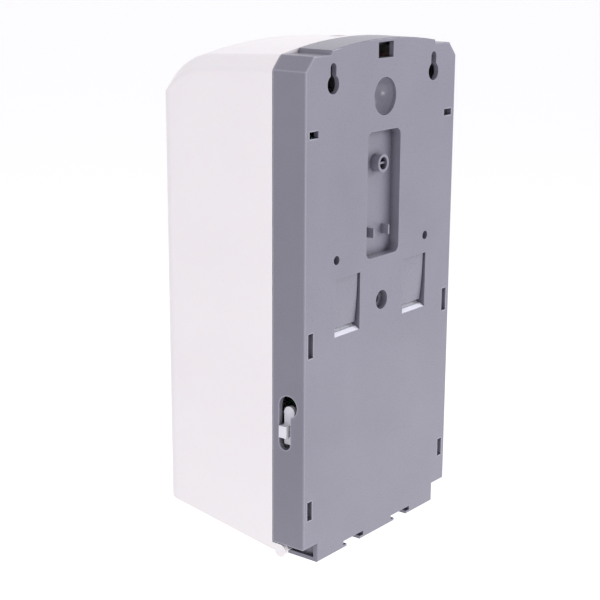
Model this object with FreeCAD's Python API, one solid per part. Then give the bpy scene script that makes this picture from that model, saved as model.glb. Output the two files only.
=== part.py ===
import FreeCAD, Part
import math
import os

# Wall mounted, touch-free soap dispenser. Lengths are in millimetres.
# The frame's +Z is up. The wall is the plane Y = 0 and the front faces -Y, so "depth" below is the
# distance forward from the wall. X = 0 is the middle and Z = 0 is the bottom edge of the housing's lip.

V = FreeCAD.Vector

# ---- Casing ----
half_width = 70.0
skirt_depth = 21.5
skirt_wall = 2.8
plate = 2.8
body_bottom = 11.0
corner_drop = 13.3
shoulder_drop = 5.9
shoulder_inset = 6.9
step_inset = 22.0
step_rise = 2.3
crest_z = 283.2
lip_inset = 12.5
lip_floor = 2.2
lip_wall = 2.5
lip_wall_inset = 2.5
edge_round = 0.6
rim_thickness = 2.0
rim_reach = 3.5
rim_root = 12.0
rim_gap = 9.0

# ---- Cover ----
cover_wall = 2.4
cover_gap = 0.4
cover_depth = 107.0
front_sagitta = 5.5
cover_edge_radius = 9.0
crease_radius = 5.0
cover_bottom_rear = 6.2
cover_bottom_slope = 0.1624
bottom_curve_radius = 15.0
top_front_radius = 38.0
top_slope = 0.05
window_half_width = 5.0
window_rise = 16.6
window_drop = 22.2
window_fit = 0.15
sensor_half_width = 11.0
sensor_reach = 4.9
sensor_length = 12.0
lens_radius = 2.5
lens_z = 44.0
nozzle_opening = 9.0

# ---- Hinge ----
hinge_depth = 16.5
hinge_z = 6.8
lug_radius = 3.7
lug_thickness = 3.0
pin_radius = 2.0
running = 0.05
sweep_clearance = 0.5

# ---- Lock ----
lock_depth = 33.0
plug_radius = 5.0
plug_recess = 0.6
sleeve_wall = 3.0
sleeve_drop = 9.2
catch_drop = 12.7
catch_thickness = 2.0
catch_half_width = 6.0
catch_lip_half_width = 2.5
catch_lip_thickness = 1.5
catch_lip_drop = 3.4
cam_thickness = 2.0
cam_half_width = 2.2
hook_inner = 8.6
hook_outer = 10.4
cam_gap = 0.9
square_hole_half = 7.0
square_hole_drop = 1.9
square_hole_height = 8.6

# ---- Back features ----
keyhole_inset = 23.0
keyhole_drop = 21.2
keyhole_entry_radius = 5.0
keyhole_slot_radius = 2.5
keyhole_rise = 11.1
dish_drop = 31.1
dish_radius = 10.35
dish_rim = 2.2
dish_depth = 10.0
dish_wall = 2.0
pocket_half_width = 15.5
pocket_low = 164.0
pocket_high = 233.7
pocket_depth = 6.3
pocket_corner = 4.0
pocket_wall = 2.5
boss_x = -0.5
boss_z = 215.4
boss_radius = 5.0
boss_bore = 3.5
boss_set_back = 0.7
boss_web = 1.2
peg_offset = 7.1
peg_thickness = 1.1
peg_low = 174.7
peg_height = 5.4
peg_reach = 5.0
screw_hole_inset = 27.5
screw_hole_z = 168.6
screw_hole_radius = 2.5
centre_hole_z = 138.7
centre_bore_radius = 5.45
centre_bore_depth = 4.0
centre_hole_radius = 2.6
tongue_window_inset = 26.3
tongue_window_width = 22.9
tongue_window_low = 126.1
tongue_window_high = 158.2
tongue_gap = 1.3
tongue_end_gap = 4.2
tongue_recess = 1.0
tongue_thickness = 1.6
tongue_dip = 2.6
collar_wall = 1.6
collar_depth = 8.7
sill_rise = 1.5
sill_reach = 3.0
sill_step = 1.2
side_hole_inset = 3.2
upper_hole = (7.5, 235.8, 239.5)
middle_hole = (4.3, 119.2, 132.8)
lower_hole = (4.1, 27.2, 38.0)
notch_inner = 14.0
notch_outer = 33.1
notch_mouth_inset = 3.1
notch_height = 4.1
notch_lip = 1.7
notch_reach = 9.0

# ---- Side switch ----
slot_depth = 13.2
slot_width = 7.8
slot_low = 66.4
round_depth = 11.0
round_z = 91.3
round_radius = 6.1
knob_depth = 14.3
knob_size = 5.0
knob_low = 73.3
knob_height = 6.6
knob_proud = 0.6
slider_thickness = 2.2
slider_gap = 0.3
switch_travel = 8.0
switch_height = 18.0
switch_width = 7.0
switch_base = 1.6

# ---- Chassis ----
chassis_depth = 12.0
chassis_thickness = 2.0
chassis_side_gap = 7.2
chassis_low = 22.0
shelf_z = 98.0
shelf_thickness = 3.0
shelf_overhang = 1.0
shelf_front_gap = 13.6
fence_thickness = 2.0
seat_rim = 4.0
post_radius = 4.2
post_inset = 10.0
post_high_gap = 5.0
post_low_gap = 4.5
middle_post_x = -9.0
screw_radius = 1.5
screw_head_radius = 2.8
screw_head = 1.8

# ---- Reservoir ----
bottle_side_gap = 3.0
bottle_front_gap = 0.3
bottle_back = 25.0
bottle_drop = 43.0
bottle_wall = 1.8
bottle_edge = 9.0
seat_gap = 0.4
cap_clearance = 3.15
neck_radius = 17.0
neck_height = 9.0
cap_wall = 2.0
cap_height = 11.5
cap_fit = 0.35
cap_ribs = 24
seal_thickness = 1.2
spout_radius = 4.8
spout_bore = 3.0
spout_drop = 17.0

# ---- Pump and gears ----
pump_z = 58.0
pump_module = 1.6
pump_teeth = 10
pump_pressure = 28.0
rotor_length = 10.0
rotor_end_gap = 0.1
rotor_tip_gap = 0.2
pump_wall = 3.0
pump_cover_thickness = 2.5
port_radius = 2.5
tower_radius = 8.5
socket_radius = 6.3
socket_depth = 8.0
tower_gap = 9.0
shaft_radius = 2.0
gear_module = 0.8
gear_pressure = 25.0
pinion_teeth = 12
wheel_teeth = 48
small_teeth = 12
output_teeth = 36
gear_width = 4.6
gear_gap = 0.5
axle_radius = 1.5
backlash = 0.16
plate_gap = 1.2
pump_plate_thickness = 2.4
pillar_radius = 3.5
pillar_clearance = 2.9
pillar_side_gap = 7.1

# ---- Motor ----
motor_width = 15.0
motor_height = 20.0
motor_length = 25.0
motor_shaft_radius = 1.0
cradle_wall = 2.0
cradle_gap = 0.15

# ---- Nozzle ----
nozzle_radius = 5.0
nozzle_bore = 2.6
nozzle_tip = 12.5
valve_tip = 8.8
valve_slit = 0.5

# ---- Batteries ----
cell_radius = 7.2
cell_length = 48.8
cell_button_radius = 2.7
cell_button = 1.6
cell_gap = 0.3
battery_wall = 1.6
battery_side_gap = 5.6
battery_low = 26.0
contact_space = 4.0
contact_thickness = 0.5
door_thickness = 1.8
door_fit = 0.3

# ---- Electronics ----
board_half_width = 24.0
board_low = 23.0
board_high = 51.0
board_thickness = 1.6
board_post_x = 19.0
board_post_z = 47.0
board_post_radius = 2.6
board_gap = 3.5
sensor_spacing = 8.0
led_radius = 2.5


# ---- Worked out from the sizes above ----
corner_low = crest_z - corner_drop
shoulder_z = crest_z - shoulder_drop
shoulder_x = half_width - shoulder_inset
step_x = half_width - step_inset
lip_half_width = half_width - lip_inset
cover_back = skirt_depth + cover_gap
sleeve_bottom = crest_z - sleeve_drop
catch_z = crest_z - catch_drop
square_hole_high = crest_z - square_hole_drop
square_hole_low = square_hole_high - square_hole_height
keyhole_x = half_width - keyhole_inset
keyhole_z = crest_z - keyhole_drop
keyhole_top = keyhole_z + keyhole_rise
dish_z = crest_z - dish_drop
screw_hole_x = half_width - screw_hole_inset
window_outer_x = half_width - tongue_window_inset
window_inner_x = window_outer_x - tongue_window_width
side_hole_outer = half_width - side_hole_inset
chassis_half_width = half_width - skirt_wall - chassis_side_gap
chassis_front = chassis_depth + chassis_thickness
shelf_half_width = chassis_half_width + shelf_overhang
shelf_front = cover_depth - cover_wall - shelf_front_gap
shelf_top = shelf_z + shelf_thickness
rim_bottom = shelf_top + rim_gap
post_x = chassis_half_width - post_inset
post_high = shelf_z - post_high_gap
post_low = chassis_low + post_low_gap
post_places = [(-post_x, post_high), (post_x, post_high), (middle_post_x, post_low), (post_x, post_low)]
bottle_half_width = shelf_half_width - bottle_side_gap
bottle_front = shelf_front - fence_thickness - bottle_front_gap
bottle_floor = shelf_top + seat_gap
bottle_top = crest_z - bottle_drop
neck_depth = lock_depth + plug_radius + cap_clearance + neck_radius + cap_fit + cap_wall
window_low = bottle_floor + window_rise
window_high = bottle_top - window_drop
tower_top = shelf_z - tower_gap
pump_pitch = pump_module * pump_teeth / 2
output_pitch = gear_module * output_teeth / 2
small_pitch = gear_module * small_teeth / 2
wheel_pitch = gear_module * wheel_teeth / 2
pinion_pitch = gear_module * pinion_teeth / 2
output_x = pump_pitch
wheel_x = output_x + output_pitch + small_pitch
motor_x = wheel_x + wheel_pitch + pinion_pitch
wheel_depth = chassis_front + motor_length + gear_gap * 2
output_depth = wheel_depth + gear_width + gear_gap
pump_plate_depth = output_depth + gear_width + plate_gap
pump_back = pump_plate_depth + pump_plate_thickness
rotor_depth = pump_back + pump_wall + rotor_end_gap
pump_front = rotor_depth + rotor_length + rotor_end_gap
port_depth = rotor_depth + rotor_length / 2
board_depth = pump_front + pump_cover_thickness + board_gap
pillar_left = output_x - output_pitch - pillar_radius - pillar_side_gap
pillar_rise = wheel_pitch + pillar_radius + pillar_clearance
sensor_depth = board_depth + board_thickness + sensor_reach
pillar_places = [(x, pump_z + side * pillar_rise) for x in (pillar_left, wheel_x) for side in (-1, 1)]
cell_pitch = cell_radius * 2 + cell_gap
battery_half = cell_pitch + cell_gap
battery_depth = chassis_front + battery_wall + battery_half
battery_x = battery_half + battery_wall + battery_side_gap + skirt_wall - half_width
switch_middle = knob_low + (knob_height + switch_travel) / 2
switch_inner_x = half_width - skirt_wall - slider_gap * 2 - slider_thickness - switch_width - switch_base
battery_height = cell_length + cell_button + 2 * contact_space
cell_low = battery_low + battery_wall + contact_space


def box(x0, x1, depth0, depth1, z0, z1):
    return Part.makeBox(x1 - x0, depth1 - depth0, z1 - z0, V(x0, -depth1, z0))


def rod(x, z, radius, depth0, depth1):
    """A round bar along the depth."""
    return Part.makeCylinder(radius, depth1 - depth0, V(x, -depth0, z), V(0, -1, 0))


def post(x, depth, radius, z0, z1):
    """An upright round bar."""
    return Part.makeCylinder(radius, z1 - z0, V(x, -depth, z0), V(0, 0, 1))


def cross_bar(depth, z, radius, x0, x1):
    """A round bar across the width."""
    return Part.makeCylinder(radius, x1 - x0, V(x0, -depth, z), V(1, 0, 0))


def fuse(shapes):
    joined = shapes[0]
    for shape in shapes[1:]:
        joined = joined.fuse(shape)
    return joined.removeSplitter()


def mirrored(shape):
    return shape.mirror(V(0, 0, 0), V(1, 0, 0))


def both_sides(shape):
    return [shape, mirrored(shape)]


def upright_edges(shape):
    def is_upright(edge):
        if not isinstance(edge.Curve, Part.Line):
            return False
        return abs(edge.tangentAt(edge.FirstParameter).z) > 0.999
    return [edge for edge in shape.Edges if is_upright(edge)]


def arc_edge(start, middle, end):
    return Part.Arc(start, middle, end).toShape()


def line_edge(start, end):
    return Part.LineSegment(start, end).toShape()


def save(name, shape):
    shape.exportStep("parts/" + name + ".step")


# ---- Outlines ----

def front_outline(bottom):
    """The casing seen from the front: chamfered top corners, shoulders and a shallow arch between."""
    arch_low = shoulder_z + step_rise
    right = [V(half_width, 0, bottom), V(half_width, 0, corner_low), V(shoulder_x, 0, shoulder_z),
             V(step_x + step_rise / 2, 0, shoulder_z), V(step_x, 0, arch_low)]
    left = [V(-point.x, 0, point.z) for point in reversed(right)]
    edges = [line_edge(a, b) for a, b in zip(right, right[1:])]
    edges.append(arc_edge(right[-1], V(0, 0, crest_z), left[0]))
    edges += [line_edge(a, b) for a, b in zip(left, left[1:])]
    edges.append(line_edge(left[-1], right[0]))
    return Part.Face(Part.Wire(edges))


def turn(before, corner, after, radius):
    """The start, middle and end of the arc that rounds a corner between two straight runs."""
    back = (before - corner).normalize()
    ahead = (after - corner).normalize()
    half = back.getAngle(ahead) / 2
    middle = (back + ahead).normalize()
    reach = radius / math.tan(half)
    return corner + back * reach, corner + middle * (radius / math.sin(half) - radius), corner + ahead * reach


def cover_outline(bottom):
    """The cover seen from the front: softly chamfered top corners and a smooth arch."""
    rise = (crest_z - shoulder_z) * (step_x / shoulder_x) ** 2
    low = V(half_width, 0, bottom)
    chamfer_low = V(half_width, 0, corner_low)
    chamfer_high = V(shoulder_x, 0, shoulder_z)
    arch = V(step_x, 0, crest_z - rise)
    first = turn(low, chamfer_low, chamfer_high, crease_radius)
    second = turn(chamfer_low, chamfer_high, arch, crease_radius)

    def side(sign):
        def at(point):
            return V(sign * point.x, 0, point.z)
        return [
            line_edge(at(low), at(first[0])),
            arc_edge(at(first[0]), at(first[1]), at(first[2])),
            line_edge(at(first[2]), at(second[0])),
            arc_edge(at(second[0]), at(second[1]), at(second[2])),
            line_edge(at(second[2]), at(arch)),
        ]
    top = arc_edge(arch, V(0, 0, crest_z), V(-arch.x, 0, arch.z))
    base = line_edge(V(-half_width, 0, bottom), low)
    return Part.Face(Part.Wire(Part.__sortEdges__(side(1) + [top] + side(-1) + [base])))


def prism(face, inset, depth0, depth1):
    """The outline, drawn in by inset, between two depths."""
    shape = face.copy() if inset == 0 else face.makeOffset2D(-inset, join=2)
    shape.translate(V(0, -depth0, 0))
    return shape.extrude(V(0, depth0 - depth1, 0))


def bottom_height(depth):
    """Height of the cover's outer bottom at a depth."""
    return cover_bottom_rear + cover_bottom_slope * (depth - cover_back)


def top_height(depth):
    """Height of the cover's outer top on the middle line, behind the front curve."""
    return crest_z - top_slope * (depth - cover_back)


def side_outline(inset, rear):
    """The cover seen from the side without its top: sloping bottom, lower front curve and front."""
    diagonal = math.cos(math.pi / 4)
    front = cover_depth - inset
    low_radius = bottom_curve_radius - inset
    low_start = cover_depth - bottom_curve_radius
    low_centre_z = bottom_height(low_start) + bottom_curve_radius
    bottom_rear = V(0, -rear, bottom_height(rear) + inset)
    bottom_front = V(0, -low_start, low_centre_z - low_radius)
    low_middle = V(0, -(low_start + low_radius * diagonal), low_centre_z - low_radius * diagonal)
    front_low = V(0, -front, low_centre_z)
    front_high = V(0, -front, crest_z + 1.0)
    rear_high = V(0, -rear, crest_z + 1.0)
    edges = [
        line_edge(bottom_rear, bottom_front),
        arc_edge(bottom_front, low_middle, front_low),
        line_edge(front_low, front_high),
        line_edge(front_high, rear_high),
        line_edge(rear_high, bottom_rear),
    ]
    return Part.Face(Part.Wire(edges))


def top_path(inset, rear):
    """The line that the front outline is carried along: gently down, then round the top front curve."""
    radius = top_front_radius - inset
    slope = math.atan(top_slope)
    turn_depth = cover_depth - top_front_radius
    turn_drop = top_slope * (turn_depth - cover_back)
    centre_depth = turn_depth - top_front_radius * math.sin(slope)
    centre_z = -turn_drop - top_front_radius * math.cos(slope)

    def on_curve(angle):
        return V(0, -(centre_depth + radius * math.sin(angle)), centre_z + inset + radius * math.cos(angle))
    last = math.radians(86.0)
    start = on_curve(slope)
    end = on_curve(last)
    rear_point = V(0, -rear, start.z - top_slope * (rear + start.y))
    return [rear_point, start, on_curve((slope + last) / 2), end]


def swept_top(inset, rear):
    """The cover's outline carried parallel to itself along the top path, and straight on below it."""
    rear_point, start, middle, end = top_path(inset, rear)
    path = Part.Wire([line_edge(rear_point, start), arc_edge(start, middle, end)])
    outline = cover_outline(-60.0)
    if inset > 0:
        outline = outline.makeOffset2D(-inset, join=2)
    profile = outline.OuterWire.copy()
    profile.translate(rear_point)
    sweep = Part.BRepOffsetAPI.MakePipeShell(path)
    sweep.setTrihedronMode(V(0, 0, 0), V(0, -1, 0))
    sweep.add(profile, False, False)
    sweep.build()
    sweep.makeSolid()
    below = outline.copy()
    below.translate(V(0, -rear, end.z))
    below = below.extrude(V(0, rear - cover_depth, 0))
    return sweep.shape().fuse(below)


def plan_outline(inset, rear):
    """The cover seen from above: straight sides, rounded corners and a gently bowed front."""
    side = half_width - inset
    corner_radius = cover_edge_radius - inset
    centre_x = half_width - cover_edge_radius
    centre_depth = cover_depth - front_sagitta - cover_edge_radius
    swing = corner_radius * math.cos(math.pi / 4)

    def corner(sign):
        start = V(sign * side, -centre_depth, 0)
        middle = V(sign * (centre_x + swing), -(centre_depth + swing), 0)
        end = V(sign * centre_x, -(centre_depth + corner_radius), 0)
        return start, middle, end
    right = corner(1)
    left = corner(-1)
    edges = [
        line_edge(V(side, -rear, 0), right[0]),
        arc_edge(*right),
        arc_edge(right[2], V(0, -(cover_depth - inset), 0), left[2]),
        arc_edge(*left),
        line_edge(left[0], V(-side, -rear, 0)),
        line_edge(V(-side, -rear, 0), V(side, -rear, 0)),
    ]
    return Part.Face(Part.Wire(edges))


def cover_block(inset, rear):
    """The cover's outer form, or its hollow when inset is the wall."""
    front = swept_top(inset, rear)
    side = side_outline(inset, rear)
    side.translate(V(-half_width, 0, 0))
    side = side.extrude(V(2 * half_width, 0, 0))
    plan = plan_outline(inset, rear).extrude(V(0, 0, crest_z + 10.0))
    return front.common(side).common(plan)


# ---- Casing ----

def keyhole():
    entry = rod(keyhole_x, keyhole_z, keyhole_entry_radius, -1, plate + 1)
    slot_top = keyhole_top - keyhole_slot_radius
    slot = box(keyhole_x - keyhole_slot_radius, keyhole_x + keyhole_slot_radius, -1, plate + 1, keyhole_z,
               slot_top)
    end = rod(keyhole_x, slot_top, keyhole_slot_radius, -1, plate + 1)
    return fuse([entry, slot, end])


def t_notch():
    """A hooked notch in the bottom lip that takes the hook of a drip tray."""
    wide = box(notch_inner, notch_outer, -1, notch_reach, notch_lip, notch_height)
    mouth = box(notch_inner + notch_mouth_inset, notch_outer - notch_mouth_inset, -1, notch_reach, -1,
                notch_height)
    return fuse([wide, mouth])


def side_slot():
    """The slide switch's slot in the +X side of the skirt: narrow below, round above."""
    x0 = half_width - skirt_wall - 1
    x1 = half_width + 1
    half = slot_width / 2
    low = cross_bar(slot_depth, slot_low + half, half, x0, x1)
    straight = box(x0, x1, slot_depth - half, slot_depth + half, slot_low + half, round_z)
    top = cross_bar(round_depth, round_z, round_radius, x0, x1)
    return fuse([low, straight, top])


def tongue_window():
    """A window in the back with a springy tongue, hung at its top, over a sill of two ramps."""
    opening = box(window_inner_x, window_outer_x, -1, collar_depth + 1, tongue_window_low,
                  tongue_window_high)
    collar = box(window_inner_x - collar_wall, window_outer_x + collar_wall, plate, collar_depth,
                 tongue_window_low - collar_wall, tongue_window_high)
    low = tongue_window_low + tongue_end_gap
    high = tongue_window_high
    middle = (low + high) / 2
    middle_depth = tongue_recess + (tongue_dip - tongue_recess) / 4
    outer = arc_edge(V(0, -tongue_recess, high), V(0, -middle_depth, middle), V(0, -tongue_dip, low))
    inner_start = V(0, -tongue_recess - tongue_thickness, high)
    inner_end = V(0, -tongue_dip - tongue_thickness, low)
    inner = arc_edge(inner_end, V(0, -middle_depth - tongue_thickness, middle), inner_start)
    edges = [
        outer,
        line_edge(V(0, -tongue_dip, low), inner_end),
        inner,
        line_edge(inner_start, V(0, -tongue_recess, high)),
    ]
    tongue = Part.Face(Part.Wire(edges))
    tongue.translate(V(window_inner_x + tongue_gap, 0, 0))
    tongue = tongue.extrude(V(window_outer_x - window_inner_x - 2 * tongue_gap, 0, 0))
    foot = tongue_window_low - 0.5
    first_end = tongue_window_low + sill_rise
    second_start = sill_reach + sill_step
    profile = [V(0, -0.4, foot), V(0, -0.4, tongue_window_low), V(0, -sill_reach, first_end),
               V(0, -second_start, first_end), V(0, -second_start - sill_reach, first_end + sill_rise),
               V(0, -second_start - sill_reach, foot)]
    sill = Part.Face(Part.makePolygon(profile + [profile[0]]))
    sill.translate(V(window_inner_x - 0.5, 0, 0))
    sill = sill.extrude(V(window_outer_x - window_inner_x + 1.0, 0, 0))
    return opening, collar, fuse([tongue, sill])


def lip():
    """The box below the body: back lip, floor and two inset side walls that carry the hinge."""
    back = box(-lip_half_width, lip_half_width, 0, plate, 0, body_bottom + 1)
    floor = box(-lip_half_width, lip_half_width, 0, skirt_depth, 0, lip_floor)
    wall_x = lip_half_width - lip_wall_inset
    wall = box(wall_x - lip_wall, wall_x, plate, skirt_depth, 0, body_bottom + 1)
    return fuse([back, floor] + both_sides(wall))


def rim():
    """The inner rim that stands out of the skirt and steers the closing cover."""
    outline = front_outline(body_bottom)
    rim_end = skirt_depth + rim_reach
    ring = prism(outline, skirt_wall, rim_root,
                 rim_end).cut(prism(outline, skirt_wall + rim_thickness, 0, rim_end + 1))
    relief = prism(outline, skirt_wall + rim_thickness / 2, skirt_depth, rim_end + 1)
    outside = prism(outline, 0, skirt_depth, rim_end + 1).cut(relief)
    below = box(-half_width, half_width, 0, rim_end + 1, 0, rim_bottom)
    return ring.cut(outside).cut(below)


def lock_catch():
    """The hooked tab under the top wall that the lock's cam turns behind."""
    tip = lock_depth - plug_radius - 1.0
    tab = box(-catch_half_width, catch_half_width, plate / 2, skirt_depth, catch_z,
              catch_z + catch_thickness)
    nose = box(-catch_lip_half_width, catch_lip_half_width, skirt_depth, tip, catch_z,
               catch_z + catch_thickness)
    hook = box(-catch_lip_half_width, catch_lip_half_width, tip - catch_lip_thickness, tip,
               catch_z - catch_lip_drop, catch_z)
    return fuse([tab, nose, hook])


def back_housing():
    outline = front_outline(body_bottom)
    block = fuse([prism(outline, 0, 0, skirt_depth), lip()])
    block = block.makeFillet(edge_round, [edge for edge in block.Edges if edge.BoundBox.YMin > -0.01])
    tray = block.cut(prism(outline, skirt_wall, plate, skirt_depth + 1))
    floor_gap = box(-lip_half_width + lip_wall_inset + lip_wall, lip_half_width - lip_wall_inset - lip_wall,
                    plate, skirt_depth + 1, lip_floor, body_bottom + skirt_wall + 1)
    pocket_outer = box(-pocket_half_width - pocket_wall, pocket_half_width + pocket_wall, plate / 2,
                       pocket_depth + pocket_wall, pocket_low - pocket_wall, pocket_high + pocket_wall)
    dish_outer = rod(0, dish_z, dish_radius + dish_wall, plate / 2, dish_depth + dish_wall)
    centre_boss = rod(0, centre_hole_z, centre_bore_radius + 2, plate / 2, centre_bore_depth + 2.5)
    opening, collar, tongue = tongue_window()
    holders = [rod(x, z, post_radius, plate / 2, chassis_depth) for x, z in post_places]
    body = tray.cut(floor_gap)
    body = fuse([body, rim(), pocket_outer, dish_outer, centre_boss,
                 lock_catch()] + both_sides(collar) + holders)

    pocket = box(-pocket_half_width, pocket_half_width, -1, pocket_depth, pocket_low, pocket_high)
    corners = [edge for edge in pocket.Edges if abs(edge.tangentAt(edge.FirstParameter).y) > 0.999]
    pocket = pocket.makeFillet(pocket_corner, corners)
    bowl_rise = dish_depth - dish_rim
    bowl_radius = (dish_radius ** 2 + bowl_rise ** 2) / (2 * bowl_rise)
    bowl = Part.makeSphere(bowl_radius, V(0, -(dish_depth - bowl_radius), dish_z))
    bowl = bowl.common(rod(0, dish_z, dish_radius, dish_rim, dish_depth + 1))
    cuts = [pocket, rod(0, dish_z, dish_radius, -1, dish_rim), bowl]
    cuts.append(box(-square_hole_half, square_hole_half, -1, plate + 1, square_hole_low, square_hole_high))
    cuts.append(rod(0, centre_hole_z, centre_bore_radius, -1, centre_bore_depth))
    cuts.append(rod(0, centre_hole_z, centre_hole_radius, -1, centre_bore_depth + 4))
    cuts += both_sides(keyhole()) + both_sides(t_notch()) + both_sides(opening)
    cuts += both_sides(rod(screw_hole_x, screw_hole_z, screw_hole_radius, -1, plate + 1))
    for width, low, high in (upper_hole, middle_hole, lower_hole):
        cuts += both_sides(box(side_hole_outer - width, side_hole_outer, -1, plate + 1, low, high))
    cuts.append(side_slot())
    hinge_bore = cross_bar(hinge_depth, hinge_z, pin_radius + running, lip_half_width - 10, lip_half_width)
    cuts += both_sides(hinge_bore)
    cuts += [rod(x, z, screw_radius, plate + 1, chassis_depth + 1) for x, z in post_places]
    body = body.cut(Part.makeCompound(cuts))

    boss_end = pocket_depth + 0.5
    boss = rod(boss_x, boss_z, boss_radius, boss_set_back, boss_end)
    boss = boss.cut(rod(boss_x, boss_z, boss_bore, boss_set_back - 1, pocket_depth))
    web = box(boss_x - boss_bore - 0.5, boss_x + boss_bore + 0.5, boss_set_back + 1.5, boss_end,
              boss_z - boss_web / 2, boss_z + boss_web / 2)
    extras = [boss, web] + both_sides(tongue)
    for x in (boss_x + peg_offset, boss_x - peg_offset):
        extras.append(box(x - peg_thickness / 2, x + peg_thickness / 2, pocket_depth - peg_reach,
                          pocket_depth + 0.5, peg_low, peg_low + peg_height))
    return fuse([body] + extras)


def hinge_lug():
    """The ear on the cover's lower rear corner, round about the hinge line."""
    x0 = half_width - lug_thickness
    lug = cross_bar(hinge_depth, hinge_z, lug_radius, x0, half_width)
    neck_low = cover_bottom_rear + 0.2
    neck = box(x0, half_width, hinge_depth, cover_back + 1.0, neck_low, hinge_z + lug_radius)
    return fuse([lug, neck])


def nozzle_cut():
    low = bottom_height(port_depth) - 12.0
    return post(0, port_depth, nozzle_opening, low, low + 20.0)


def lens_plug(radius):
    return rod(0, lens_z, radius, cover_depth - cover_wall * 2, cover_depth + 1)


def sensor_block(gap):
    low = bottom_height(sensor_depth) - 8.0
    return box(-sensor_half_width - gap, sensor_half_width + gap, sensor_depth - sensor_length / 2 - gap,
               sensor_depth + sensor_length / 2 + gap, low, low + 20.0)


def window_block(gap):
    return box(-window_half_width - gap, window_half_width + gap, cover_depth - cover_wall * 3,
               cover_depth + 1,
               window_low - gap, window_high + gap)


def cover_nodes():
    """The cover shell and the three clear pieces that fill openings in its wall."""
    outer = cover_block(0, cover_back)
    inner = cover_block(cover_wall, cover_back - 1.0)
    shell = outer.cut(inner)
    sleeve = post(0, lock_depth, plug_radius + sleeve_wall, sleeve_bottom, crest_z).common(outer)
    sweep_radius = math.hypot(skirt_depth - hinge_depth, hinge_z) + sweep_clearance
    sweep = cross_bar(hinge_depth, hinge_z, sweep_radius, -lip_half_width - 1, lip_half_width + 1)
    shell = fuse([shell, sleeve] + both_sides(hinge_lug()))
    shell = shell.cut(sweep).cut(nozzle_cut())
    shell = shell.cut(post(0, lock_depth, plug_radius + running, sleeve_bottom - 1, crest_z + 1))
    shell = shell.cut(lens_plug(lens_radius + window_fit))
    shell = shell.cut(sensor_block(window_fit)).cut(window_block(window_fit))
    pin_holes = cross_bar(hinge_depth, hinge_z, pin_radius, half_width - lug_thickness - 1, half_width - 1)
    shell = shell.cut(Part.makeCompound(both_sides(pin_holes)))
    wall = outer.cut(inner)
    return {
        "front_cover": shell,
        "level_window": wall.common(window_block(0)),
        "sensor_window": wall.common(sensor_block(0)),
        "status_lens": wall.common(lens_plug(lens_radius)),
    }


def hinge_pins():
    pin = cross_bar(hinge_depth, hinge_z, pin_radius, lip_half_width - lip_wall_inset - lip_wall - 0.5,
                    half_width - 1)
    return Part.makeCompound(both_sides(pin))


# ---- Lock ----

def lock_nodes():
    hook_top = catch_z - cam_gap / 2
    bar_top = catch_z - catch_lip_drop - cam_gap
    bar_low = bar_top - cam_thickness
    head = top_height(lock_depth) - plug_recess
    plug = post(0, lock_depth, plug_radius, bar_top, head)
    slot_turn = box(-0.9, 0.9, lock_depth - 3.2, lock_depth + 3.2, head - 4.0, head + 1)
    plug = plug.cut(slot_turn).cut(post(0, lock_depth, screw_radius, bar_top - 1, bar_top + 7))
    bar = box(0, hook_outer, lock_depth - cam_half_width, lock_depth + cam_half_width, bar_low, bar_top)
    disc = post(0, lock_depth, plug_radius - 0.5, bar_low, bar_top)
    ring = post(0, lock_depth, hook_outer, bar_low,
                hook_top).cut(post(0, lock_depth, hook_inner, bar_low - 1, hook_top + 1))
    sector = box(0, hook_outer, lock_depth - cam_half_width, lock_depth + cam_half_width, bar_low, hook_top)
    cam = fuse([bar, disc, ring.common(sector)]).common(post(0, lock_depth, hook_outer, bar_low, hook_top))
    cam = cam.cut(post(0, lock_depth, screw_radius, bar_low - 1, bar_top + 1))
    screw = post(0, lock_depth, screw_radius, bar_low, bar_top + 6)
    screw = fuse([screw, post(0, lock_depth, screw_head_radius, bar_low - screw_head, bar_low)])
    return {"lock_plug": plug, "lock_cam": cam, "lock_screw": screw}


# ---- Side switch ----

def switch_nodes():
    x1 = half_width - skirt_wall - slider_gap
    x0 = x1 - slider_thickness
    knob_high = knob_low + knob_height
    knob = box(x0, half_width + knob_proud, knob_depth - knob_size / 2, knob_depth + knob_size / 2,
               knob_low, knob_high)
    stem = box(x0, x1, knob_depth - 3.2, knob_depth + 1.6, knob_low - 4.5, knob_high + 7.0)
    head = cross_bar(knob_depth - 1.8, knob_high + 7.0, 3.6, x0, x1)
    finger = box(x0 - 3.0, x0, knob_depth - 1.2, knob_depth + 1.2, knob_low + 1.5, knob_high - 1.5)
    slider = fuse([knob, stem, head, finger])
    body_x1 = x0 - slider_gap
    middle = switch_middle
    body = box(body_x1 - switch_width, body_x1, knob_depth - 4.0, knob_depth + 4.0,
               middle - switch_height / 2,
               middle + switch_height / 2)
    track = box(body_x1 - 4.5, body_x1 + 1, knob_depth - 1.7, knob_depth + 1.7, knob_low + 1.0,
                knob_high + switch_travel - 1.0)
    base_x1 = body_x1 - switch_width
    base = box(base_x1 - switch_base, base_x1, plate, knob_depth + 5.0, middle - switch_height / 2 - 1,
               middle + switch_height / 2 + 1)
    return {"side_slider": slider, "switch_body": body.cut(track), "switch_board": base}


# ---- Gears ----

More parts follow.
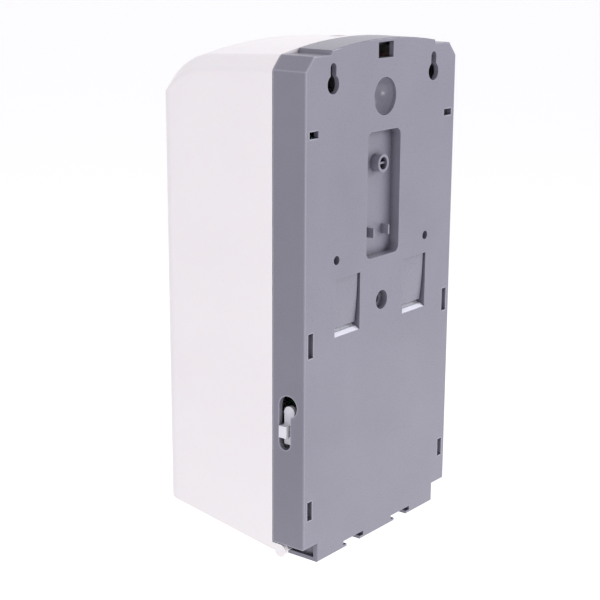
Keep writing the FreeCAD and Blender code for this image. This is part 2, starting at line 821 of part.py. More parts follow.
def gear_face(teeth, module, pressure, phase, addendum=0.85, dedendum=1.2):
    """An involute gear outline about the origin in XZ, with a tooth centred on the phase angle."""
    pitch = module * teeth / 2
    base = pitch * math.cos(math.radians(pressure))
    tip = pitch + addendum * module
    root = pitch - dedendum * module
    start = max(base, root)
    pressure_angle = math.radians(pressure)
    half_tooth = math.pi / (2 * teeth) - backlash / (2 * pitch) + math.tan(pressure_angle) - pressure_angle

    def half_angle(radius):
        angle = math.acos(min(1.0, base / radius))
        return half_tooth - (math.tan(angle) - angle)
    samples = [start + (tip - start) * step / 3 for step in range(4)]
    points = []
    for tooth in range(teeth):
        centre = math.radians(phase) + 2 * math.pi * tooth / teeth
        rising = [(radius, centre - half_angle(radius)) for radius in samples]
        falling = [(radius, centre + half_angle(radius)) for radius in reversed(samples)]
        flank = rising + falling
        if root < start - 0.01:
            flank = [(root, flank[0][1])] + flank + [(root, flank[-1][1])]
        points += [V(radius * math.cos(angle), 0, radius * math.sin(angle)) for radius, angle in flank]
    return Part.Face(Part.makePolygon(points + [points[0]]))


def gear(x, teeth, module, pressure, phase, depth0, depth1):
    face = gear_face(teeth, module, pressure, phase)
    face.translate(V(x, -depth0, pump_z))
    return face.extrude(V(0, depth0 - depth1, 0))


def gear_nodes():
    """The train lies in a row along X: pump shaft, compound gear, then motor pinion."""
    output = gear(output_x, output_teeth, gear_module, gear_pressure, 0.0, output_depth,
                  output_depth + gear_width)
    output = output.cut(rod(output_x, pump_z, shaft_radius, output_depth - 1,
                            output_depth + gear_width + 1))
    small_phase = 180.0 + 180.0 / small_teeth
    small = gear(wheel_x, small_teeth, gear_module, gear_pressure, small_phase, wheel_depth,
                 output_depth + gear_width)
    wheel = gear(wheel_x, wheel_teeth, gear_module, gear_pressure, 0.0, wheel_depth,
                 wheel_depth + gear_width)
    bore = rod(wheel_x, pump_z, axle_radius + running, 0, pump_front)
    pinion_phase = 180.0 + 180.0 / pinion_teeth
    pinion = gear(motor_x, pinion_teeth, gear_module, gear_pressure, pinion_phase, wheel_depth,
                  wheel_depth + gear_width)
    pinion = pinion.cut(rod(motor_x, pump_z, motor_shaft_radius, 0, pump_front))
    return {
        "output_gear": output,
        "compound_gear": fuse([small, wheel]).cut(bore),
        "gear_axle": rod(wheel_x, pump_z, axle_radius, chassis_depth + 1, pump_back - 0.4),
        "motor_pinion": pinion,
    }


# ---- Pump ----

def rotor(side, phase):
    face = gear_face(pump_teeth, pump_module, pump_pressure, phase, 0.85, 1.1)
    face.translate(V(side * pump_pitch, -rotor_depth, pump_z))
    return face.extrude(V(0, -rotor_length, 0))


def pump_nodes():
    tip = pump_pitch + 0.85 * pump_module + rotor_tip_gap
    half_x = pump_pitch + tip + pump_wall
    half_z = tip + pump_wall
    block = box(-half_x, half_x, pump_back, pump_front, pump_z - half_z, pump_z + half_z)
    block = block.makeFillet(pump_wall,
                             [e for e in block.Edges if abs(e.tangentAt(e.FirstParameter).y) > 0.999])
    tower = post(0, port_depth, tower_radius, pump_z + half_z, tower_top)
    body = block.fuse(tower.cut(box(-30, 30, 0, pump_back, 0, tower_top + 1)))
    for side in (-1, 1):
        body = body.cut(rod(side * pump_pitch, pump_z, tip, rotor_depth - rotor_end_gap, pump_front + 1))
        body = body.cut(rod(side * pump_pitch, pump_z, shaft_radius + running, pump_back - 1, pump_front))
    body = body.cut(post(0, port_depth, port_radius, pump_z - half_z - 1, tower_top))
    body = body.cut(post(0, port_depth, socket_radius, tower_top - socket_depth, tower_top + 1))
    cover = box(-half_x, half_x, pump_front, pump_front + pump_cover_thickness, pump_z - half_z,
                pump_z + half_z)
    stand = [rod(x, board_post_z, board_post_radius, pump_front, board_depth)
             for x in (-board_post_x, board_post_x)]
    cover = fuse([cover] + stand)
    for x in (-board_post_x, board_post_x):
        cover = cover.cut(rod(x, board_post_z, screw_radius, pump_front + 2, board_depth + 1))
    cover = cover.cut(rod(-pump_pitch, pump_z, shaft_radius + running, pump_front - 1, pump_front + 2))
    cover = cover.cut(rod(pump_pitch, pump_z, shaft_radius + running, pump_front - 1, pump_front + 2))
    drive = fuse([rotor(1, 0.0),
                  rod(pump_pitch, pump_z, shaft_radius, output_depth - 0.4, pump_front + 1.6)])
    idler_phase = 180.0 / pump_teeth
    idler = fuse([rotor(-1, idler_phase),
                  rod(-pump_pitch, pump_z, shaft_radius, pump_back + 0.5, pump_front + 1.6)])
    left = pillar_left - pillar_radius - 1.5
    right = wheel_x + pillar_radius + 1.5
    low = pump_z - pillar_rise - pillar_radius - 1.5
    high = pump_z + pillar_rise + pillar_radius + 1.5
    plate_shape = box(left, right, pump_plate_depth, pump_back, low, high)
    plate_shape = plate_shape.cut(rod(pump_pitch, pump_z, shaft_radius + 0.6, 0, pump_front))
    plate_shape = plate_shape.cut(rod(wheel_x, pump_z, axle_radius, 0, pump_front))
    for x, z in pillar_places:
        plate_shape = plate_shape.cut(rod(x, z, screw_radius, 0, pump_front))
    seal = post(0, port_depth, socket_radius, tower_top - 4.0, tower_top - 1.0)
    seal = seal.cut(post(0, port_depth, spout_radius + running, 0, tower_top))
    screws = [screw_at(x, z, pump_plate_depth - 8.0, pump_back) for x, z in pillar_places]
    return {
        "pump_body": body,
        "pump_cover": cover,
        "drive_rotor": drive,
        "idler_rotor": idler,
        "pump_plate": plate_shape,
        "spout_seal": seal,
        "pump_screws": Part.makeCompound(screws),
    }


def screw_at(x, z, depth0, depth1):
    """A screw along the depth, its head in front of depth1."""
    body = fuse([rod(x, z, screw_radius, depth0, depth1),
                 rod(x, z, screw_head_radius, depth1, depth1 + screw_head)])
    return body.cut(box(x - 2, x + 2, depth1 + screw_head / 2, depth1 + screw_head + 1, z - 0.35, z + 0.35))


def nozzle_nodes():
    tip = pump_pitch + 0.85 * pump_module + rotor_tip_gap
    top = pump_z - tip - pump_wall
    tube = post(0, port_depth, nozzle_radius, nozzle_tip, top)
    flange = post(0, port_depth, nozzle_radius + 2.0, top - 2.0, top)
    tube = fuse([tube, flange]).cut(post(0, port_depth, nozzle_bore, nozzle_tip - 1, top + 1))
    cone = Part.makeCone(nozzle_bore - 0.6, nozzle_radius - 0.6, nozzle_tip - valve_tip,
                         V(0, -port_depth, valve_tip))
    collar = post(0, port_depth, nozzle_bore, nozzle_tip, nozzle_tip + 4.0)
    valve = fuse([cone, collar]).cut(post(0, port_depth, nozzle_bore - 1.2, valve_tip + 1.0,
                                          nozzle_tip + 5))
    slit = box(-1.6, 1.6, port_depth - valve_slit / 2, port_depth + valve_slit / 2, valve_tip - 1,
               valve_tip + 1.5)
    return {"nozzle": tube, "nozzle_valve": valve.cut(slit)}


# ---- Motor and chassis ----

def motor_nodes():
    back = chassis_front
    front = back + motor_length
    can = box(motor_x - motor_width / 2, motor_x + motor_width / 2, back, front,
              pump_z - motor_height / 2, pump_z + motor_height / 2)
    can = can.common(rod(motor_x, pump_z, motor_height / 2, back, front))
    can = can.cut(rod(motor_x, pump_z, motor_shaft_radius + running, back + 3, front + 1))
    return {
        "drive_motor": can,
        "motor_shaft": rod(motor_x, pump_z, motor_shaft_radius, back + 4, wheel_depth + gear_width + 1),
    }


def inner_chassis():
    back = box(-chassis_half_width, chassis_half_width, chassis_depth, chassis_front, chassis_low,
               shelf_top)
    shelf = box(-shelf_half_width, shelf_half_width, chassis_depth, shelf_front, shelf_z, shelf_top)
    fence = box(-shelf_half_width, shelf_half_width, shelf_front - fence_thickness, shelf_front, shelf_top,
                shelf_top + seat_rim)
    reach = motor_length * 0.7
    cradle = box(motor_x - motor_width / 2 - cradle_wall, motor_x + motor_width / 2 + cradle_wall,
                 chassis_front, chassis_front + reach, pump_z - motor_height / 2 - cradle_wall,
                 pump_z + motor_height / 2 + cradle_wall)
    cradle = cradle.cut(box(motor_x - motor_width / 2 - cradle_gap, motor_x + motor_width / 2 + cradle_gap,
                            chassis_front, chassis_front + reach + 1, pump_z - motor_height / 2 - cradle_gap,
                            pump_z + motor_height / 2 + cradle_gap))
    boss = rod(wheel_x, pump_z, axle_radius + 4, chassis_depth, wheel_depth - gear_gap)
    pillars = [rod(x, z, pillar_radius, chassis_depth, pump_plate_depth) for x, z in pillar_places]
    body = fuse([back, shelf, fence, cradle, boss] + pillars)
    body = body.cut(rod(wheel_x, pump_z, axle_radius, chassis_depth + 1, pump_back))
    for x, z in pillar_places:
        body = body.cut(rod(x, z, screw_radius, pump_plate_depth - 9.0, pump_back))
    for x, z in post_places:
        body = body.cut(rod(x, z, screw_radius, 0, chassis_front + 1))
    body = body.cut(post(0, port_depth, spout_radius + 4.5, shelf_z - 1, shelf_top + 1))
    switch_room = box(switch_inner_x - 1.0, chassis_half_width + 1, 0, chassis_front + 8.0,
                      switch_middle - switch_height / 2 - 2.0, switch_middle + switch_height / 2 + 2.0)
    return body.cut(switch_room)


def chassis_screws():
    return Part.makeCompound([screw_at(x, z, plate + 2, chassis_front) for x, z in post_places])


# ---- Reservoir ----

def bottle_form(inset):
    half = bottle_half_width - inset
    form = box(-half, half, bottle_back + inset, bottle_front - inset, bottle_floor + inset,
               bottle_top - inset)
    form = form.makeFillet(bottle_edge - inset, upright_edges(form))
    rim_edges = [e for e in form.Edges if e.BoundBox.ZMin > bottle_top - inset - 0.01]
    return form.makeFillet(bottle_edge - inset - 0.5, rim_edges)


def reservoir_nodes():
    neck_top = bottle_top + neck_height
    spout_tip = bottle_floor - spout_drop
    outer = fuse([bottle_form(0), post(0, neck_depth, neck_radius, bottle_top - 2, neck_top),
                  post(0, port_depth, spout_radius, spout_tip, bottle_floor + 1)])
    inner = fuse([bottle_form(bottle_wall),
                  post(0, neck_depth, neck_radius - bottle_wall, bottle_top - 4, neck_top + 1),
                  post(0, port_depth, spout_bore, spout_tip - 1, bottle_floor + 3)])
    cap_inner = neck_radius + cap_fit
    cap_top = neck_top + seal_thickness + cap_wall
    cap = post(0, neck_depth, cap_inner + cap_wall, cap_top - cap_height, cap_top)
    cap = cap.cut(post(0, neck_depth, cap_inner, cap_top - cap_height - 1, cap_top - cap_wall))
    grip_radius = cap_inner + cap_wall
    for index in range(cap_ribs):
        angle = 2 * math.pi * index / cap_ribs
        x = (grip_radius + 0.5) * math.cos(angle)
        depth = neck_depth + (grip_radius + 0.5) * math.sin(angle)
        cap = cap.cut(post(x, depth, 1.0, cap_top - cap_height - 1, cap_top - 1.5))
    seal = post(0, neck_depth, neck_radius, neck_top, neck_top + seal_thickness)
    seal = seal.cut(post(0, neck_depth, neck_radius - 4, neck_top - 1, neck_top + seal_thickness + 1))
    return {"soap_reservoir": outer.cut(inner), "filler_cap": cap, "cap_seal": seal}


# ---- Batteries ----

def cell_centres():
    half = cell_pitch / 2
    return [(battery_x + dx, battery_depth + dd, flip) for dx, dd, flip in
            ((-half, -half, 0), (half, -half, 1), (-half, half, 1), (half, half, 0))]


def contact_coil(x, depth, z0, z1):
    """A short coil spring contact, its two ends closed by flat rings."""
    wire = 0.35
    turns = 3
    height = z1 - z0 - 2 * wire
    helix = Part.makeHelix(height / turns, height, 2.6)
    start = Part.Wire([Part.makeCircle(wire, V(2.6, 0, 0), V(0, 1, 0))])
    coil = Part.Wire(helix.Edges).makePipeShell([start], True, True)
    coil.translate(V(x, -depth, z0 + wire))
    return coil


def battery_nodes():
    half = battery_half + battery_wall
    top = battery_low + 2 * battery_wall + battery_height
    case = box(battery_x - half, battery_x + half, chassis_front, battery_depth + battery_half,
               battery_low, top)
    hollow = box(battery_x - battery_half, battery_x + battery_half, chassis_front + battery_wall,
                 battery_depth + battery_half + 1, battery_low + battery_wall, top - battery_wall)
    case = case.cut(hollow)
    door_back = battery_depth + battery_half + door_fit
    door = box(battery_x - half, battery_x + half, door_back, door_back + door_thickness, battery_low, top)
    grip = box(battery_x - 8, battery_x + 8, door_back + door_thickness, door_back + door_thickness + 2.0,
               top - 8, top - 6)
    cells = []
    coils = []
    plates = []
    floor = battery_low + battery_wall
    ceiling = top - battery_wall
    for x, depth, flip in cell_centres():
        can = post(x, depth, cell_radius, cell_low, cell_low + cell_length)
        button_low = cell_low - cell_button if flip else cell_low + cell_length
        cells.append(fuse([can, post(x, depth, cell_button_radius, button_low, button_low + cell_button)]))
        spring_low = cell_low + cell_length if flip else floor + contact_thickness
        spring_high = ceiling - contact_thickness if flip else cell_low
        coils.append(contact_coil(x, depth, spring_low, spring_high))
        for z in (floor, ceiling - contact_thickness):
            plates.append(box(x - 5, x + 5, depth - 5, depth + 5, z, z + contact_thickness))
    return {
        "battery_box": case,
        "battery_door": fuse([door, grip]),
        "battery_cells": Part.makeCompound(cells),
        "contact_springs": Part.makeCompound(coils),
        "contact_plates": Part.makeCompound(plates),
    }


# ---- Electronics ----

def electronics_nodes():
    front = board_depth + board_thickness
    board = box(-board_half_width, board_half_width, board_depth, front, board_low, board_high)
    for x in (-board_post_x, board_post_x):
        board = board.cut(rod(x, board_post_z, screw_radius, board_depth - 1, front + 1))
    screws = [screw_at(x, board_post_z, pump_front + 2.2, front) for x in (-board_post_x, board_post_x)]
    chips = [box(-6, 6, front, front + 1.6, board_low + 9, board_low + 17),
             box(11, 19, front, front + 2.4, board_low + 5, board_low + 11),
             box(-19, -12, front, front + 1.2, board_low + 7, board_low + 15)]
    led = rod(0, lens_z, led_radius - 0.5, front, front + 5.0)

    def sensor(x):
        body = post(x, sensor_depth, led_radius, board_low, board_low + 5.0)
        dome = Part.makeSphere(led_radius, V(x, -sensor_depth, board_low))
        lead = box(x - 1.5, x + 1.5, front, sensor_depth, board_low + 3.0, board_low + 4.0)
        return fuse([body, dome, lead])
    return {
        "control_board": board,
        "board_chips": Part.makeCompound(chips),
        "status_led": led,
        "sensor_emitter": sensor(-sensor_spacing),
        "sensor_receiver": sensor(sensor_spacing),
        "board_screws": Part.makeCompound(screws),
    }


nodes = {"back_housing": back_housing()}
nodes.update(cover_nodes())
nodes["hinge_pins"] = hinge_pins()
nodes.update(lock_nodes())
nodes.update(switch_nodes())
nodes["inner_chassis"] = inner_chassis()
nodes["chassis_screws"] = chassis_screws()
nodes.update(reservoir_nodes())
nodes.update(pump_nodes())
nodes.update(gear_nodes())
nodes.update(motor_nodes())
nodes.update(nozzle_nodes())
nodes.update(battery_nodes())
nodes.update(electronics_nodes())

os.makedirs("parts", exist_ok=True)
for name, shape in nodes.items():
    save(name, shape)
    print(name, len(shape.Solids), round(shape.Volume), shape.isValid())
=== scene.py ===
import bpy
import bmesh
from mathutils import Matrix, Vector


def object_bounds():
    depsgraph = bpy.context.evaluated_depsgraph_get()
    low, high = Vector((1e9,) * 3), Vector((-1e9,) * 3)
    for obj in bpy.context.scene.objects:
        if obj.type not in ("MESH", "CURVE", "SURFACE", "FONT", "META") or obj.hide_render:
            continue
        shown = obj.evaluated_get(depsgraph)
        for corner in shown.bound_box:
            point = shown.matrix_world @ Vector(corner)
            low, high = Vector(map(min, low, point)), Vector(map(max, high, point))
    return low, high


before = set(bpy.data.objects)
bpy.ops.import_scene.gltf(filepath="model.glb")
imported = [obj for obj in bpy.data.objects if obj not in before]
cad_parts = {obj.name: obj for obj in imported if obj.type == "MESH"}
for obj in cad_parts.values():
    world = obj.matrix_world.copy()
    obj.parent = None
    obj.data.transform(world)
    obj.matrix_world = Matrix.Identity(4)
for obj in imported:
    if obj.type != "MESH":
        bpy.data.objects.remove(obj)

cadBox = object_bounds()
print("frame loaded:", len(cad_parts), "nodes")


def mm(value):
    return value / 1000.0


def linear(hexCode):
    # sRGB hex to the linear values that shaders take
    channels = [int(hexCode[i:i + 2], 16) / 255.0 for i in (1, 3, 5)]
    return tuple(c / 12.92 if c <= 0.04045 else ((c + 0.055) / 1.055) ** 2.4 for c in channels) + (1.0,)


def addNode(tree, kind, settings=None, links=None):
    # links: input name or index -> the output socket that feeds it
    node = tree.nodes.new(kind)
    for key, value in (settings or {}).items():
        if hasattr(node, key) and key not in node.inputs:
            setattr(node, key, value)
        else:
            node.inputs[key].default_value = value
    for key, socket in (links or {}).items():
        tree.links.new(socket, node.inputs[key])
    return node


def newMaterial(name, shader):
    material = bpy.data.materials.new(name)
    material.use_nodes = True
    tree = material.node_tree
    tree.nodes.clear()
    surface = addNode(tree, "ShaderNodeBsdfPrincipled", shader)
    addNode(tree, "ShaderNodeOutputMaterial", None, {"Surface": surface.outputs["BSDF"]})
    coords = addNode(tree, "ShaderNodeTexCoord").outputs["Object"]
    return material, tree, surface, coords


def grainScale(sizeMm):
    # noise cells per metre for a grain of that size
    return 1000.0 / sizeMm


# most of a noise node's values fall in this band
noiseBand = {"From Min": 0.3, "From Max": 0.7}
# dot product of the rounded and the true normal on a flat face and on a sharp edge
edgeBand = {"From Min": 1.0, "From Max": 0.9}
# share of open sky over a point, from deep in a hole to nearly clear
shelterBand = {"From Min": 0.25, "From Max": 0.8}
raySamples = {"edge": 6, "shelter": 8}
upwardZ = 0.5
streakGloss = (0.7, 1.4)
streakBump = {"Strength": 0.15, "Distance": mm(0.02)}
rippleBump = {"Strength": 0.1, "Distance": mm(0.05)}


def blendTo(tree, share, finish, hexCode):
    # the finish so far, blended towards one colour by a share
    blend = addNode(tree, "ShaderNodeMix", {"data_type": "RGBA"}, {0: share, 6: finish})
    blend.inputs[7].default_value = linear(hexCode)
    return blend.outputs[2]


def edgeWearAndHighlight(tree, coords, finish, spec):
    # lighter edges, partly wear and partly a painted highlight: the rounded normal leaves the true one
    # only close to an edge; lighter edges, guessed as wear: the rounded normal leaves the true one
    # only close to an edge
    rounded = addNode(tree, "ShaderNodeBevel", {"Radius": mm(spec["edgeMm"])})
    rounded.samples = raySamples["edge"]
    flat = addNode(tree, "ShaderNodeNewGeometry").outputs["True Normal"]
    agree = addNode(tree, "ShaderNodeVectorMath", {"operation": "DOT_PRODUCT"},
                    {0: rounded.outputs["Normal"], 1: flat})
    rubAndHighlight = addNode(tree, "ShaderNodeMapRange", {**edgeBand, "To Max": spec["edgeShare"]},
                  {"Value": agree.outputs["Value"]})
    # strongest at the outer corners and weak round the inner holes
    place = addNode(tree, "ShaderNodeSeparateXYZ", None, {"Vector": coords})
    side = addNode(tree, "ShaderNodeMath", {"operation": "ABSOLUTE"}, {0: place.outputs["X"]})
    inward, outward = spec["outerMm"]
    outer = addNode(tree, "ShaderNodeMapRange", {"From Min": mm(inward), "From Max": mm(outward),
                                                 "To Min": spec["innerShare"]},
                    {"Value": side.outputs["Value"]})
    share = addNode(tree, "ShaderNodeMath", {"operation": "MULTIPLY"},
                    {0: rubAndHighlight.outputs["Result"], 1: outer.outputs["Result"]})
    return blendTo(tree, share.outputs["Value"], finish, spec["edge"])


def paintedRecessShade(tree, finish, spec):
    # holes and slots darkened by how sheltered they are: painted shade
    sheltered = addNode(tree, "ShaderNodeAmbientOcclusion", {"Distance": mm(spec["recessMm"])})
    sheltered.samples = raySamples["shelter"]
    dark = addNode(tree, "ShaderNodeMapRange", {**shelterBand, "To Min": 1.0, "To Max": 0.0},
                   {"Value": sheltered.outputs["AO"]})
    return blendTo(tree, dark.outputs["Result"], finish, spec["recessShade"])


def paintedSillHighlight(tree, coords, finish, spec):
    # upward faces of the window sills, coloured almost white: a painted highlight
    place = addNode(tree, "ShaderNodeSeparateXYZ", None, {"Vector": coords})
    facing = addNode(tree, "ShaderNodeSeparateXYZ", None,
                     {"Vector": addNode(tree, "ShaderNodeNewGeometry").outputs["True Normal"]})
    upward = addNode(tree, "ShaderNodeMath", {"operation": "GREATER_THAN"}, {0: facing.outputs["Z"]})
    upward.inputs[1].default_value = upwardZ
    middle, reach = spec["sillMm"]
    level = addNode(tree, "ShaderNodeMath", {"operation": "COMPARE"}, {0: place.outputs["Z"]})
    level.inputs[1].default_value = mm(middle)
    level.inputs[2].default_value = mm(reach)
    onSill = addNode(tree, "ShaderNodeMath", {"operation": "MULTIPLY"},
                     {0: upward.outputs["Value"], 1: level.outputs["Value"]})
    return blendTo(tree, onSill.outputs["Value"], finish, spec["sill"])


def mouldedPlastic(name, spec):
    # injection moulded plastic: flow mottle in the colour, spark grain in the gloss and the bump
    material, tree, surface, coords = newMaterial(name, {
        "Roughness": spec["roughness"], "IOR": spec.get("ior", 1.53), "Metallic": 0.0,
        "Subsurface Weight": spec.get("subsurface", 0.0), "Subsurface Scale": spec.get("depth", 0.002)})
    mottle = addNode(tree, "ShaderNodeTexNoise", {"Scale": grainScale(spec["mottleMm"]), "Detail": 3.0,
                                                  "Roughness": 0.5}, {"Vector": coords})
    spread = addNode(tree, "ShaderNodeMapRange", noiseBand, {"Value": mottle.outputs["Fac"]})
    colour = addNode(tree, "ShaderNodeMix", {"data_type": "RGBA"}, {0: spread.outputs["Result"]})
    colour.inputs[6].default_value = linear(spec["low"])
    colour.inputs[7].default_value = linear(spec["high"])
    finish = colour.outputs[2]
    # optional marks: lighter edges (partly wear, partly painted highlight), painted shade in recesses,
    # painted highlight on the sills
    if "edge" in spec:
        finish = edgeWearAndHighlight(tree, coords, finish, spec)
    if "recessShade" in spec:
        finish = paintedRecessShade(tree, finish, spec)
    if "sill" in spec:
        finish = paintedSillHighlight(tree, coords, finish, spec)
    tree.links.new(finish, surface.inputs["Base Color"])
    grain = addNode(tree, "ShaderNodeTexNoise", {"Scale": grainScale(spec["grainMm"]), "Detail": 4.0,
                                                 "Roughness": 0.6}, {"Vector": coords})
    gloss = addNode(tree, "ShaderNodeMapRange", {**noiseBand,
                                                 "To Min": spec["roughness"] - spec["glossSpread"],
                                                 "To Max": spec["roughness"] + spec["glossSpread"]},
                    {"Value": grain.outputs["Fac"]})
    tree.links.new(gloss.outputs["Result"], surface.inputs["Roughness"])
    bump = addNode(tree, "ShaderNodeBump", {"Strength": spec["bump"], "Distance": mm(spec["bumpMm"])},
                   {"Height": grain.outputs["Fac"]})
    tree.links.new(bump.outputs["Normal"], surface.inputs["Normal"])
    return material


def metal(name, spec):
    # bare or plated metal: fine drawn or plated streaks in the roughness
    material, tree, surface, coords = newMaterial(name, {
        "Base Color": linear(spec["colour"]), "Metallic": 1.0, "Roughness": spec["roughness"]})
    stretch = addNode(tree, "ShaderNodeMapping", {"Scale": spec["stretch"]}, {"Vector": coords})
    streak = addNode(tree, "ShaderNodeTexNoise", {"Scale": grainScale(spec["grainMm"]), "Detail": 5.0},
                     {"Vector": stretch.outputs["Vector"]})
    smooth, rough = streakGloss
    gloss = addNode(tree, "ShaderNodeMapRange", {**noiseBand, "To Min": spec["roughness"] * smooth,
                                                 "To Max": spec["roughness"] * rough},
                    {"Value": streak.outputs["Fac"]})
    tree.links.new(gloss.outputs["Result"], surface.inputs["Roughness"])
    bump = addNode(tree, "ShaderNodeBump", streakBump, {"Height": streak.outputs["Fac"]})
    tree.links.new(bump.outputs["Normal"], surface.inputs["Normal"])
    return material


def clearPlastic(name, spec):
    # moulded clear plastic: slight tint, faint ripple from the mould
    material, tree, surface, coords = newMaterial(name, {
        "Base Color": linear(spec["colour"]), "Roughness": spec["roughness"], "IOR": spec["ior"],
        "Transmission Weight": spec["transmission"]})
    ripple = addNode(tree, "ShaderNodeTexNoise", {"Scale": grainScale(spec["rippleMm"]), "Detail": 2.0},
                     {"Vector": coords})
    bump = addNode(tree, "ShaderNodeBump", rippleBump, {"Height": ripple.outputs["Fac"]})
    tree.links.new(bump.outputs["Normal"], surface.inputs["Normal"])
    return material


# materials, named for what the real pieces are made of

materials = {
    # grey ABS, spark eroded mould: even satin with a fine grain; lighter edges partly wear and partly
    # painted highlight, painted highlight on the sills, painted shade in the holes
    "greyAbs": mouldedPlastic("greyAbs", {
        "low": "#6f6d7a", "high": "#74727f", "roughness": 0.3, "glossSpread": 0.05, "mottleMm": 45.0,
        "grainMm": 0.7, "bump": 0.12, "bumpMm": 0.05, "edge": "#b4b2c0", "edgeMm": 1.4, "edgeShare": 0.5,
        "outerMm": (58.0, 63.0), "innerShare": 0.15, "sill": "#dedeea", "sillMm": (127.6, 1.7),
        "recessShade": "#34333c", "recessMm": 6.0}),
    # white ABS, polished mould: smooth satin, almost no grain
    "whiteAbs": mouldedPlastic("whiteAbs", {
        "low": "#dcd7da", "high": "#dedadc", "roughness": 0.30, "glossSpread": 0.03, "mottleMm": 60.0,
        "grainMm": 1.2, "bump": 0.05, "bumpMm": 0.03, "subsurface": 0.05, "depth": 0.002}),
    # white acetal gears and rotors: waxy and slightly yellow
    "acetal": mouldedPlastic("acetal", {
        "low": "#e9e6dc", "high": "#efece3", "roughness": 0.36, "glossSpread": 0.04, "mottleMm": 8.0,
        "grainMm": 0.5, "bump": 0.08, "bumpMm": 0.03, "subsurface": 0.1, "depth": 0.0015}),
    # off-white nylon slider: cool and slightly greyer than the cover; lighter edges partly wear and partly
    # painted highlight
    "whiteNylon": mouldedPlastic("whiteNylon", {
        "low": "#c9c8d0", "high": "#d0cfd7", "roughness": 0.34, "glossSpread": 0.05, "mottleMm": 6.0,
        "grainMm": 0.5, "bump": 0.1, "bumpMm": 0.03, "edge": "#f2f1f5", "edgeMm": 0.4, "edgeShare": 0.5,
        "outerMm": (58.0, 63.0), "innerShare": 1.0}),
    # natural polypropylene inner mouldings
    "whitePolypropylene": mouldedPlastic("whitePolypropylene", {
        "low": "#d6d9dc", "high": "#dde0e2", "roughness": 0.45, "glossSpread": 0.06, "mottleMm": 25.0,
        "grainMm": 0.8, "bump": 0.12, "bumpMm": 0.05, "subsurface": 0.1, "depth": 0.002}),
    # blow moulded polyethylene bottle: milky, light comes through
    "milkyPolyethylene": mouldedPlastic("milkyPolyethylene", {
        "low": "#dfe6ea", "high": "#e9eff2", "roughness": 0.33, "glossSpread": 0.05, "mottleMm": 30.0,
        "grainMm": 3.0, "bump": 0.12, "bumpMm": 0.1, "subsurface": 0.5, "depth": 0.006, "ior": 1.51}),
    # dark grey polypropylene cap and nozzle
    "darkPolypropylene": mouldedPlastic("darkPolypropylene", {
        "low": "#4c4e56", "high": "#555760", "roughness": 0.42, "glossSpread": 0.05, "mottleMm": 12.0,
        "grainMm": 0.6, "bump": 0.12, "bumpMm": 0.04}),
    # black ABS battery box and switch
    "blackAbs": mouldedPlastic("blackAbs", {
        "low": "#1b1b1e", "high": "#202024", "roughness": 0.4, "glossSpread": 0.06, "mottleMm": 20.0,
        "grainMm": 0.6, "bump": 0.15, "bumpMm": 0.05}),
    # silicone seals: dull and translucent
    "silicone": mouldedPlastic("silicone", {
        "low": "#c9cccc", "high": "#d2d5d5", "roughness": 0.55, "glossSpread": 0.04, "mottleMm": 4.0,
        "grainMm": 0.4, "bump": 0.05, "bumpMm": 0.02, "subsurface": 0.4, "depth": 0.002, "ior": 1.41}),
    # green solder mask over glass epoxy
    "solderMask": mouldedPlastic("solderMask", {
        "low": "#1e5a33", "high": "#24683c", "roughness": 0.28, "glossSpread": 0.05, "mottleMm": 2.5,
        "grainMm": 0.5, "bump": 0.2, "bumpMm": 0.03}),
    # printed shrink sleeve on the cells
    "cellSleeve": mouldedPlastic("cellSleeve", {
        "low": "#2d4a63", "high": "#33526d", "roughness": 0.25, "glossSpread": 0.03, "mottleMm": 10.0,
        "grainMm": 1.0, "bump": 0.04, "bumpMm": 0.02}),
    # infrared-passing acrylic: looks black, very glossy
    "infraredAcrylic": mouldedPlastic("infraredAcrylic", {
        "low": "#120b12", "high": "#170e17", "roughness": 0.08, "glossSpread": 0.02, "mottleMm": 15.0,
        "grainMm": 2.0, "bump": 0.02, "bumpMm": 0.01, "ior": 1.49}),
    # clear polycarbonate window
    "clearPolycarbonate": clearPlastic("clearPolycarbonate", {
        "colour": "#e4eaee", "roughness": 0.08, "ior": 1.58, "transmission": 0.9, "rippleMm": 12.0}),
    # water-clear epoxy of the diodes
    "clearEpoxy": clearPlastic("clearEpoxy", {
        "colour": "#dfe6f2", "roughness": 0.05, "ior": 1.54, "transmission": 0.85, "rippleMm": 3.0}),
    # zinc plated screws, pins and axle
    "zincSteel": metal("zincSteel", {
        "colour": "#c3c5c9", "roughness": 0.3, "grainMm": 0.5, "stretch": (1.0, 1.0, 1.0)}),
    # nickel plated motor can, contacts and lock
    "nickelPlate": metal("nickelPlate", {
        "colour": "#c9c6bf", "roughness": 0.22, "grainMm": 0.6, "stretch": (1.0, 0.15, 1.0)}),
    # machined brass pinion
    "brass": metal("brass", {
        "colour": "#c9a95a", "roughness": 0.28, "grainMm": 0.4, "stretch": (1.0, 1.0, 1.0)}),
}

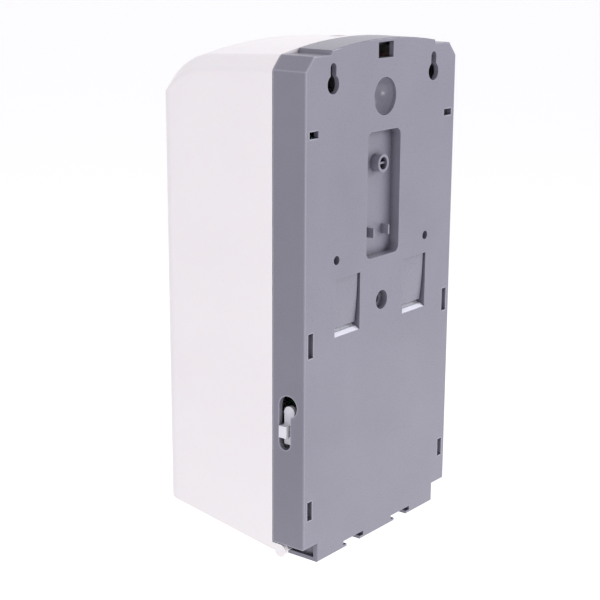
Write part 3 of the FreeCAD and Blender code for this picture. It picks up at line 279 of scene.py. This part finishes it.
finishOf = {
    "greyAbs": ["back_housing"],
    "whiteAbs": ["front_cover"],
    "whiteNylon": ["side_slider"],
    "acetal": ["drive_rotor", "idler_rotor", "output_gear", "compound_gear"],
    "whitePolypropylene": ["inner_chassis", "pump_body", "pump_cover", "pump_plate"],
    "milkyPolyethylene": ["soap_reservoir"],
    "darkPolypropylene": ["filler_cap", "nozzle"],
    "blackAbs": ["battery_box", "battery_door", "switch_body", "board_chips"],
    "silicone": ["cap_seal", "spout_seal", "nozzle_valve"],
    "solderMask": ["control_board", "switch_board"],
    "cellSleeve": ["battery_cells"],
    "infraredAcrylic": ["sensor_window", "sensor_receiver"],
    "clearPolycarbonate": ["level_window", "status_lens"],
    "clearEpoxy": ["status_led", "sensor_emitter"],
    "zincSteel": ["hinge_pins", "lock_screw", "chassis_screws", "pump_screws", "board_screws", "gear_axle",
                  "motor_shaft"],
    "nickelPlate": ["lock_plug", "lock_cam", "drive_motor", "contact_springs", "contact_plates"],
    "brass": ["motor_pinion"],
}


def paint(piece, finish):
    piece.data.materials.clear()
    piece.data.materials.append(materials[finish])


for finish, names in finishOf.items():
    for name in names:
        paint(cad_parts[name], finish)
print("materials on", sum(len(names) for names in finishOf.values()), "nodes")

# stage: pale floor, soft light from above and behind the object, camera

stage = {
    "floorDrop": 0.35, "floorSize": 60.0, "floorColour": "#ffffff", "floorRoughness": 0.9,
    "worldColour": "#fdfcff", "worldStrength": 1.0,
    "lights": [
        # name, place, aim, size, watts
        ("keySoftbox", (-1.1, 1.3, 0.8), (0.0, 0.0, 0.15), 0.7, 14.0),
        ("topSoftbox", (-0.3, 0.1, 1.7), (0.0, 0.0, 0.15), 1.0, 5.0),
        ("edgeStrip", (0.75, 1.15, 0.0), (0.0, 0.0, 0.15), 0.25, 4.0),
    ],
}


def buildStage():
    mesh = bpy.data.meshes.new("floor")
    shape = bmesh.new()
    bmesh.ops.create_grid(shape, x_segments=1, y_segments=1, size=stage["floorSize"] / 2)
    bmesh.ops.translate(shape, verts=shape.verts, vec=(0, 0, cadBox[0][2] - stage["floorDrop"]))
    shape.to_mesh(mesh)
    shape.free()
    floor = bpy.data.objects.new("floor", mesh)
    bpy.context.scene.collection.objects.link(floor)
    mesh.materials.append(newMaterial("paperFloor", {
        "Base Color": linear(stage["floorColour"]), "Roughness": stage["floorRoughness"]})[0])
    world = bpy.data.worlds.new("studio")
    world.use_nodes = True
    sky = world.node_tree.nodes["Background"]
    sky.inputs["Color"].default_value = linear(stage["worldColour"])
    sky.inputs["Strength"].default_value = stage["worldStrength"]
    bpy.context.scene.world = world
    bpy.context.scene.view_settings.view_transform = "Standard"  # white stays white
    for name, place, aim, size, watts in stage["lights"]:
        lamp = bpy.data.lights.new(name, "AREA")
        lamp.size = size
        lamp.energy = watts
        holder = bpy.data.objects.new(name, lamp)
        holder.location = place
        direction = Vector(aim) - Vector(place)
        holder.rotation_euler = direction.to_track_quat("-Z", "Y").to_euler()
        bpy.context.scene.collection.objects.link(holder)


view = {
    # camera place in metres and its three axes, solved from the object's own proportions
    "place": (0.6441, 0.4460, 0.3411),
    "right": (-0.61710, 0.78687, 0.00453),
    "up": (-0.19493, -0.15844, 0.96793),
    "forward": (-0.76236, -0.59643, -0.25116),
    "lens": 86.63, "sensor": 36.0, "clipEnd": 200.0,
}


def buildCamera():
    lens = bpy.data.cameras.new("camera")
    lens.lens = view["lens"]
    lens.sensor_width = view["sensor"]
    lens.clip_end = view["clipEnd"]
    camera = bpy.data.objects.new("camera", lens)
    axes = Matrix((view["right"], view["up"], [-v for v in view["forward"]])).transposed()
    camera.matrix_world = Matrix.Translation(view["place"]) @ axes.to_4x4()
    bpy.context.scene.collection.objects.link(camera)
    bpy.context.scene.camera = camera


buildStage()
buildCamera()
print("stage and camera made")
